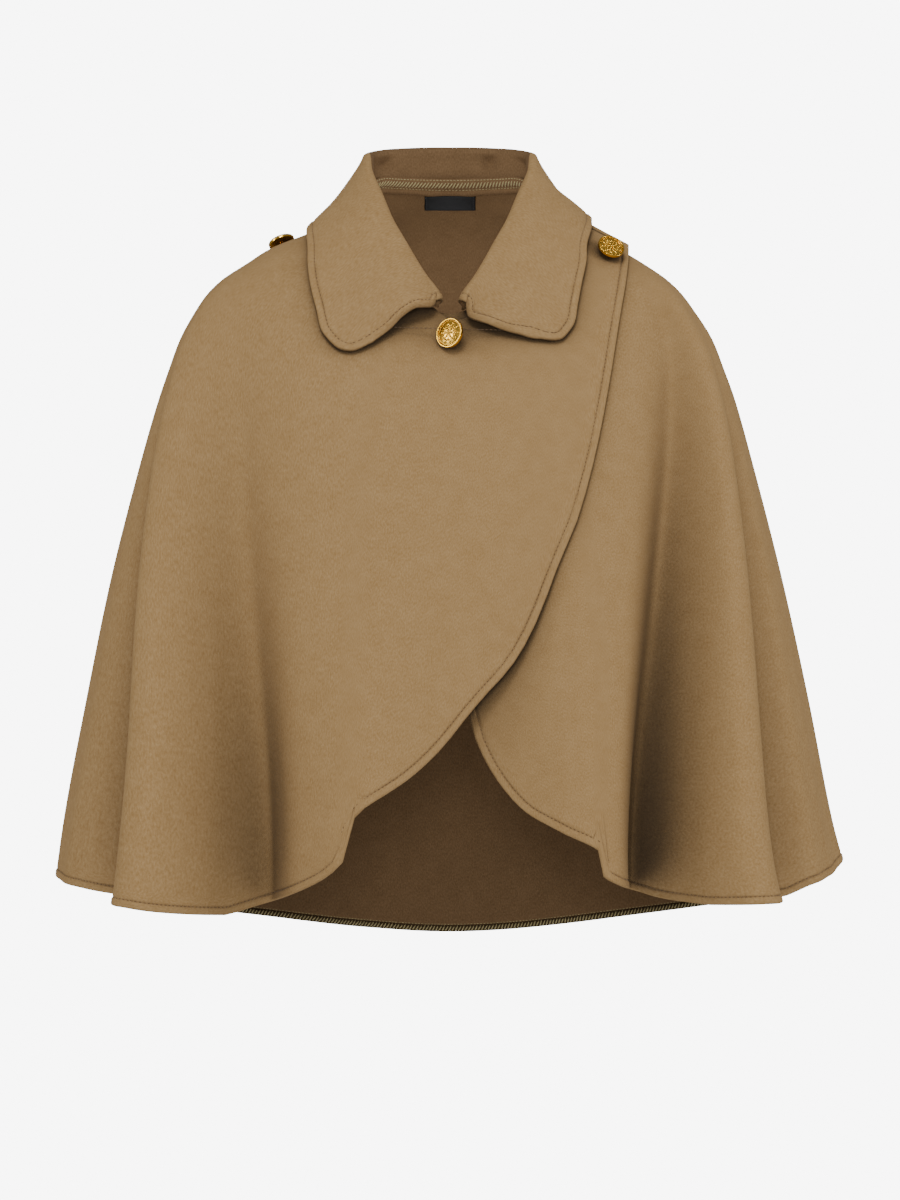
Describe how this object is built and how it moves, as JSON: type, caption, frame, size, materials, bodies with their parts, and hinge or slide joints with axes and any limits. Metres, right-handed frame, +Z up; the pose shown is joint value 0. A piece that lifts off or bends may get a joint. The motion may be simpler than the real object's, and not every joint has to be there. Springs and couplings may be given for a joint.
{
  "type": "wool cape",
  "caption": "Hip-length wool cape with a turned-down collar, a wrapped front with a curved edge, and gilt shank buttons at the neck and shoulders, in its worn form.",
  "frame": {"origin": "middle of the shoulder line at the foot of the neck, where the wearer's shoulders carry the cape", "axes": "+Z up, -Y the way the wearer faces, +X the wearer's left"},
  "size_m": [0.6129, 0.3643, 0.6339],
  "materials": {
    "right_front": "napped wool",
    "left_front": "napped wool",
    "back": "napped wool",
    "collar": "napped wool",
    "label": "woven ribbon",
    "buttons": "gilt, polished rim"
  },
  "bodies": {
    "root": {"right_front": "right_front", "left_front": "left_front", "back": "back", "collar": "collar", "label": "label", "neck_button": "buttons", "left_shoulder_button": "buttons", "right_shoulder_button": "buttons"}
  },
  "joints": []
}
